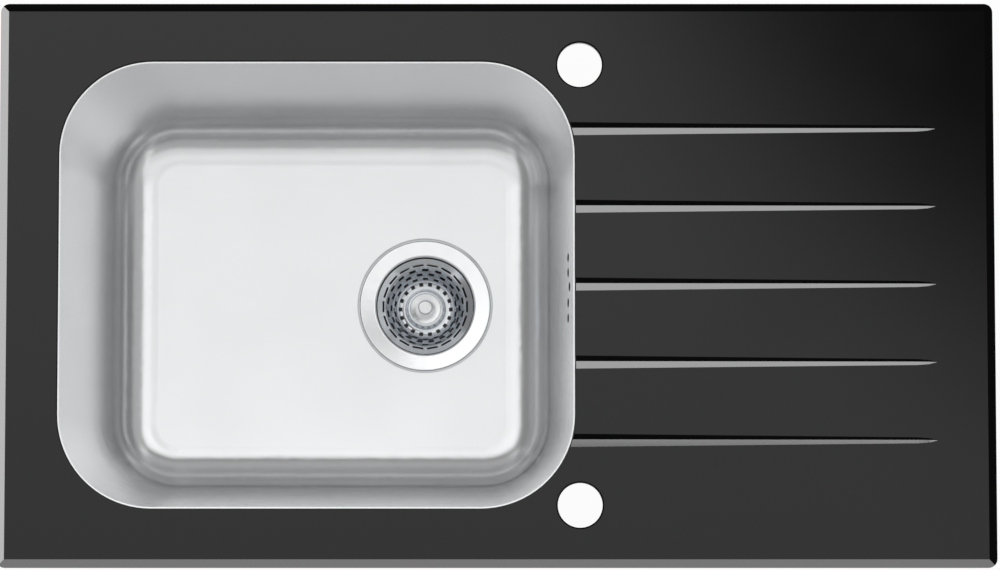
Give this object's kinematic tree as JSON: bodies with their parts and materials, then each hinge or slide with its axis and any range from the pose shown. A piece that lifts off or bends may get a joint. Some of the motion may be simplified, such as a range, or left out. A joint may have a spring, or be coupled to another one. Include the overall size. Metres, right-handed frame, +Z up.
{
  "type": "kitchen sink",
  "caption": "Inset kitchen sink with a bevelled black glass top, a satin steel bowl, a grooved drainer, tap holes, a basket waste and an overflow",
  "frame": {"origin": "in the worktop's surface, under the middle of the glass top", "axes": "+Z up, +X towards the drainer, +Y towards the back edge with the wall behind it"},
  "size_m": [0.78, 0.444, 0.269],
  "materials": {
    "black_glass": "toughened black glass, polished",
    "satin_steel": "fine satin stainless steel",
    "polished_steel": "polished stainless steel",
    "basket_steel": "pressed stainless steel, tumbled",
    "tray_steel": "mill-finish stainless sheet",
    "zinc_steel": "zinc-plated steel",
    "black_silicone": "cured black silicone",
    "grey_foam": "closed-cell foam",
    "black_rubber": "moulded rubber",
    "bitumen_pad": "sound-deadening sheet",
    "white_plastic": "moulded polypropylene",
    "black_plastic": "moulded polypropylene, black",
    "grey_plastic": "moulded polypropylene",
    "brass": "turned brass"
  },
  "bodies": {
    "sink": {"glass_top": "black_glass", "deck_tray": "tray_steel", "glass_bond": "black_silicone", "rim_seal": "grey_foam", "bowl": "satin_steel", "bowl_edge_joint": "black_silicone", "sound_pad": "bitumen_pad", "drainer_ribs": "zinc_steel", "waste_top_seal": "black_rubber", "waste_cup": "polished_steel", "waste_bottom_seal": "black_rubber", "waste_body": "white_plastic", "waste_insert": "brass", "waste_screw": "polished_steel", "waste_washer": "polished_steel", "overflow_gasket": "black_rubber", "overflow_housing": "black_plastic", "overflow_studs": "zinc_steel", "overflow_nuts": "zinc_steel", "overflow_pipe": "white_plastic", "pipe_nut_upper": "grey_plastic", "pipe_seal_upper": "black_rubber", "pipe_nut_lower": "grey_plastic", "pipe_seal_lower": "black_rubber", "clip_rails": "zinc_steel", "clamp_brackets": "zinc_steel", "bracket_rivets": "zinc_steel"},
    "basket": {"strainer_basket": "basket_steel", "basket_rosette": "satin_steel", "basket_knob": "satin_steel", "basket_stem": "polished_steel", "basket_seal": "black_rubber", "basket_nut": "grey_plastic"},
    "clamp_screw_1": {"clamp_screw_1": "zinc_steel"},
    "clamp_claw_1": {"clamp_claw_1": "zinc_steel"},
    "clamp_screw_2": {"clamp_screw_2": "zinc_steel"},
    "clamp_claw_2": {"clamp_claw_2": "zinc_steel"},
    "clamp_screw_3": {"clamp_screw_3": "zinc_steel"},
    "clamp_claw_3": {"clamp_claw_3": "zinc_steel"},
    "clamp_screw_4": {"clamp_screw_4": "zinc_steel"},
    "clamp_claw_4": {"clamp_claw_4": "zinc_steel"},
    "clamp_screw_5": {"clamp_screw_5": "zinc_steel"},
    "clamp_claw_5": {"clamp_claw_5": "zinc_steel"},
    "clamp_screw_6": {"clamp_screw_6": "zinc_steel"},
    "clamp_claw_6": {"clamp_claw_6": "zinc_steel"}
  },
  "joints": [
    {"name": "basket_lift", "type": "slide", "parent": "sink", "child": "basket", "axis": [0, 0, 1], "range_m": [0, 0.25]},
    {"name": "clamp_1_tighten", "type": "slide", "parent": "sink", "child": "clamp_screw_1", "axis": [0, 0, 1], "range_m": [0, 0.014]},
    {"name": "clamp_1_swing", "type": "hinge", "parent": "clamp_screw_1", "child": "clamp_claw_1", "pos_m": [-0.262, 0.194, -0.0465], "axis": [0, 0, -1], "range_deg": [0, 90]},
    {"name": "clamp_2_tighten", "type": "slide", "parent": "sink", "child": "clamp_screw_2", "axis": [0, 0, 1], "range_m": [0, 0.014]},
    {"name": "clamp_2_swing", "type": "hinge", "parent": "clamp_screw_2", "child": "clamp_claw_2", "pos_m": [0.262, 0.194, -0.0465], "axis": [0, 0, -1], "range_deg": [0, 90]},
    {"name": "clamp_3_tighten", "type": "slide", "parent": "sink", "child": "clamp_screw_3", "axis": [0, 0, 1], "range_m": [0, 0.014]},
    {"name": "clamp_3_swing", "type": "hinge", "parent": "clamp_screw_3", "child": "clamp_claw_3", "pos_m": [-0.262, -0.194, -0.0465], "axis": [0, 0, -1], "range_deg": [0, 90]},
    {"name": "clamp_4_tighten", "type": "slide", "parent": "sink", "child": "clamp_screw_4", "axis": [0, 0, 1], "range_m": [0, 0.014]},
    {"name": "clamp_4_swing", "type": "hinge", "parent": "clamp_screw_4", "child": "clamp_claw_4", "pos_m": [0.262, -0.194, -0.0465], "axis": [0, 0, -1], "range_deg": [0, 90]},
    {"name": "clamp_5_tighten", "type": "slide", "parent": "sink", "child": "clamp_screw_5", "axis": [0, 0, 1], "range_m": [0, 0.014]},
    {"name": "clamp_5_swing", "type": "hinge", "parent": "clamp_screw_5", "child": "clamp_claw_5", "pos_m": [-0.362, 0, -0.0465], "axis": [0, 0, -1], "range_deg": [0, 90]},
    {"name": "clamp_6_tighten", "type": "slide", "parent": "sink", "child": "clamp_screw_6", "axis": [0, 0, 1], "range_m": [0, 0.014]},
    {"name": "clamp_6_swing", "type": "hinge", "parent": "clamp_screw_6", "child": "clamp_claw_6", "pos_m": [0.362, 0, -0.0465], "axis": [0, 0, -1], "range_deg": [0, 90]}
  ]
}
